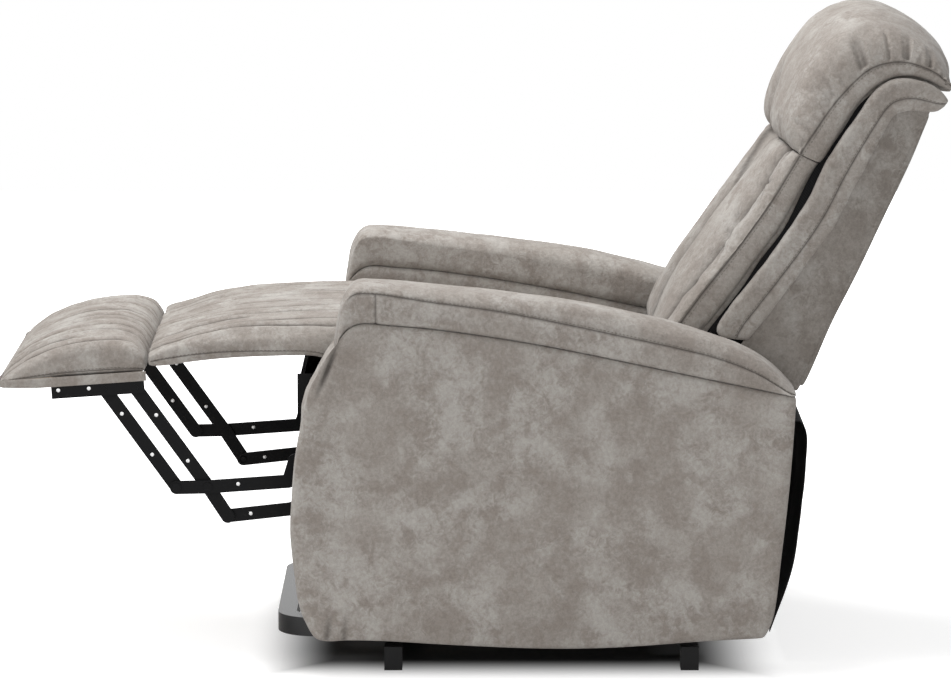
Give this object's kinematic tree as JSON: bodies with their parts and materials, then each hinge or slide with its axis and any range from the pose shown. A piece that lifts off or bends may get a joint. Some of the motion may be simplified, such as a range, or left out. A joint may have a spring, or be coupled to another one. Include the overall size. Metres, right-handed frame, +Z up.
{
  "type": "power lift recliner chair",
  "caption": "Power lift recliner with padded arms, head pillow and a linked footrest; it reclines, and rises and tilts forward to help the sitter stand.",
  "frame": {"origin": "middle of the bounding box in plan, on the floor, with the chair down, the back reclined and the footrest out", "axes": "+Z up, -Y the way the sitter faces, +X the sitter's left"},
  "size_m": [0.79, 1.4962, 1.0253],
  "materials": {
    "suede_cloth": "mottled suede-look microfibre",
    "dust_cloth": "plain woven dust cloth",
    "webbing": "elastic webbing",
    "black_steel": "black satin powder coat",
    "bright_steel": "ground rod",
    "black_plastic": "moulded",
    "rocker_plastic": "moulded",
    "timber": "planed softwood"
  },
  "bodies": {
    "base": {"base_front_tube": "black_steel", "base_side_tubes": "black_steel", "base_front_cross_tube": "black_steel", "base_rear_cross_tube": "black_steel", "base_feet": "black_plastic", "base_pivot_brackets": "black_steel", "lift_motor_bracket": "black_steel"},
    "lift_arm": {"lift_arm_left": "black_steel", "lift_arm_right": "black_steel", "lift_yoke": "black_steel"},
    "lift_link": {"lift_links": "black_steel"},
    "lift_motor_body": {"lift_motor": "black_plastic"},
    "lift_rod_body": {"lift_rod": "bright_steel"},
    "chair": {"chair_side_plate_left": "black_steel", "chair_side_plate_right": "black_steel", "chair_pivot_posts": "black_steel", "chair_front_tube": "black_steel", "chair_rear_tube": "black_steel", "seat_frame": "timber", "seat_webbing": "webbing", "seat_cushion": "suede_cloth", "front_dust_panel": "dust_cloth", "arm_inner_board_left": "suede_cloth", "arm_inner_board_right": "suede_cloth", "arm_outer_board_left": "suede_cloth", "arm_outer_board_right": "suede_cloth", "arm_front_boards": "suede_cloth", "arm_pad_left": "suede_cloth", "arm_pad_right": "suede_cloth", "arm_rails": "timber", "chair_tail_rail": "timber", "rear_dust_cloth": "dust_cloth", "power_supply": "black_plastic", "handset_recess": "black_plastic", "handset_case": "black_plastic"},
    "rocker_lift_body": {"rocker_lift": "rocker_plastic"},
    "rocker_back_body": {"rocker_back": "rocker_plastic"},
    "rocker_footrest_body": {"rocker_footrest": "rocker_plastic"},
    "drive_link": {"footrest_drive_links": "black_steel", "footrest_crank_tube": "black_steel"},
    "guide_link": {"footrest_guide_links": "black_steel"},
    "main_lever": {"footrest_main_levers": "black_steel"},
    "steady_lever": {"footrest_steady_levers": "black_steel"},
    "footrest": {"footrest_brackets": "black_steel", "footrest_board": "timber", "footrest_pad": "suede_cloth"},
    "calf": {"calf_pad": "suede_cloth"},
    "foot_motor_body": {"foot_motor": "black_plastic"},
    "foot_rod_body": {"foot_rod": "bright_steel"},
    "back": {"back_hinge_tube": "black_steel", "back_hinge_plates": "black_steel", "back_frame": "timber", "back_rear_board": "suede_cloth", "back_side_boards": "suede_cloth", "back_wings": "suede_cloth", "back_collar": "suede_cloth", "back_cushion": "suede_cloth", "head_pillow": "suede_cloth"},
    "back_motor_body": {"back_motor": "black_plastic"},
    "back_rod_body": {"back_rod": "bright_steel"}
  },
  "joints": [
    {"name": "lift", "type": "hinge", "parent": "base", "child": "lift_arm", "pos_m": [0, -0.251, 0.09], "axis": [1, 0, 0], "range_deg": [0, 57.2]},
    {"name": "chair_on_lift_arm", "type": "hinge", "parent": "lift_arm", "child": "chair", "pos_m": [0, 0.015, 0.083], "axis": [1, 0, 0], "range_deg": [-33.91, 0]},
    {"name": "lift_link_swing", "type": "hinge", "parent": "base", "child": "lift_link", "pos_m": [0, -0.182, 0.111], "axis": [1, 0, 0], "range_deg": [0, 48.6]},
    {"name": "lift_motor_swing", "type": "hinge", "parent": "base", "child": "lift_motor_body", "pos_m": [0, 0.318, 0.072], "axis": [1, 0, 0], "range_deg": [0, 2.52]},
    {"name": "lift_rod_travel", "type": "slide", "parent": "lift_motor_body", "child": "lift_rod_body", "axis": [0, -0.968, 0.2508], "range_m": [0, 0.12183]},
    {"name": "footrest", "type": "hinge", "parent": "chair", "child": "drive_link", "pos_m": [0, -0.21539, 0.34123], "axis": [1, 0, 0], "range_deg": [0, 82.04]},
    {"name": "guide_link_swing", "type": "hinge", "parent": "chair", "child": "guide_link", "pos_m": [0, -0.18723, 0.28598], "axis": [1, 0, 0], "range_deg": [0, 83.21]},
    {"name": "main_lever_swing", "type": "hinge", "parent": "drive_link", "child": "main_lever", "pos_m": [0, -0.421, 0.281], "axis": [1, 0, 0], "range_deg": [-89.17, 0]},
    {"name": "steady_lever_swing", "type": "hinge", "parent": "drive_link", "child": "steady_lever", "pos_m": [0, -0.47, 0.28], "axis": [1, 0, 0], "range_deg": [-89.17, 0]},
    {"name": "footrest_tilt", "type": "hinge", "parent": "main_lever", "child": "footrest", "pos_m": [0, -0.534, 0.439], "axis": [1, 0, 0], "range_deg": [0, 89.17]},
    {"name": "calf_pad_fold", "type": "hinge", "parent": "chair", "child": "calf", "pos_m": [0, -0.32551, 0.51741], "axis": [1, 0, 0], "range_deg": [0, 82.04]},
    {"name": "foot_motor_swing", "type": "hinge", "parent": "chair", "child": "foot_motor_body", "pos_m": [-0.09, 0.23, 0.205], "axis": [1, 0, 0], "range_deg": [-1.96, 0]},
    {"name": "foot_rod_travel", "type": "slide", "parent": "foot_motor_body", "child": "foot_rod_body", "axis": [0, -0.9857, 0.1686], "range_m": [-0.09058, 0]},
    {"name": "back_recline", "type": "hinge", "parent": "chair", "child": "back", "pos_m": [0, 0.3, 0.43], "axis": [1, 0, 0], "range_deg": [-13, 16]},
    {"name": "back_motor_swing", "type": "hinge", "parent": "chair", "child": "back_motor_body", "pos_m": [0.09, -0.09, 0.265], "axis": [1, 0, 0], "range_deg": [-0.58, 0.47]},
    {"name": "back_rod_travel", "type": "slide", "parent": "back_motor_body", "child": "back_rod_body", "axis": [0, 0.9902, 0.1396], "range_m": [-0.02516, 0.03096]},
    {"name": "rocker_lift_press", "type": "hinge", "parent": "chair", "child": "rocker_lift_body", "pos_m": [-0.3849, -0.035, 0.42], "axis": [0, 1, 0], "range_deg": [-5, 5]},
    {"name": "rocker_back_press", "type": "hinge", "parent": "chair", "child": "rocker_back_body", "pos_m": [-0.3849, -0.035, 0.454], "axis": [0, 1, 0], "range_deg": [-5, 5]},
    {"name": "rocker_footrest_press", "type": "hinge", "parent": "chair", "child": "rocker_footrest_body", "pos_m": [-0.3849, -0.035, 0.488], "axis": [0, 1, 0], "range_deg": [-5, 5]}
  ],
  "couplings": [
    {"joint": "chair_on_lift_arm", "follows": "lift", "ratio": -0.59288},
    {"joint": "lift_link_swing", "follows": "lift", "ratio": 0.84964},
    {"joint": "lift_motor_swing", "follows": "lift", "ratio": 0.04408},
    {"joint": "lift_rod_travel", "follows": "lift", "m_per_rad": 0.12203},
    {"joint": "guide_link_swing", "follows": "footrest", "ratio": 1.0143},
    {"joint": "main_lever_swing", "follows": "footrest", "ratio": -1.0869},
    {"joint": "steady_lever_swing", "follows": "footrest", "ratio": -1.0869},
    {"joint": "footrest_tilt", "follows": "footrest", "ratio": 1.0869},
    {"joint": "calf_pad_fold", "follows": "footrest", "ratio": 1},
    {"joint": "foot_motor_swing", "follows": "footrest", "ratio": -0.02383},
    {"joint": "foot_rod_travel", "follows": "footrest", "m_per_rad": -0.063262},
    {"joint": "back_motor_swing", "follows": "back_recline", "ratio": -0.03647},
    {"joint": "back_rod_travel", "follows": "back_recline", "m_per_rad": 0.11087}
  ]
}
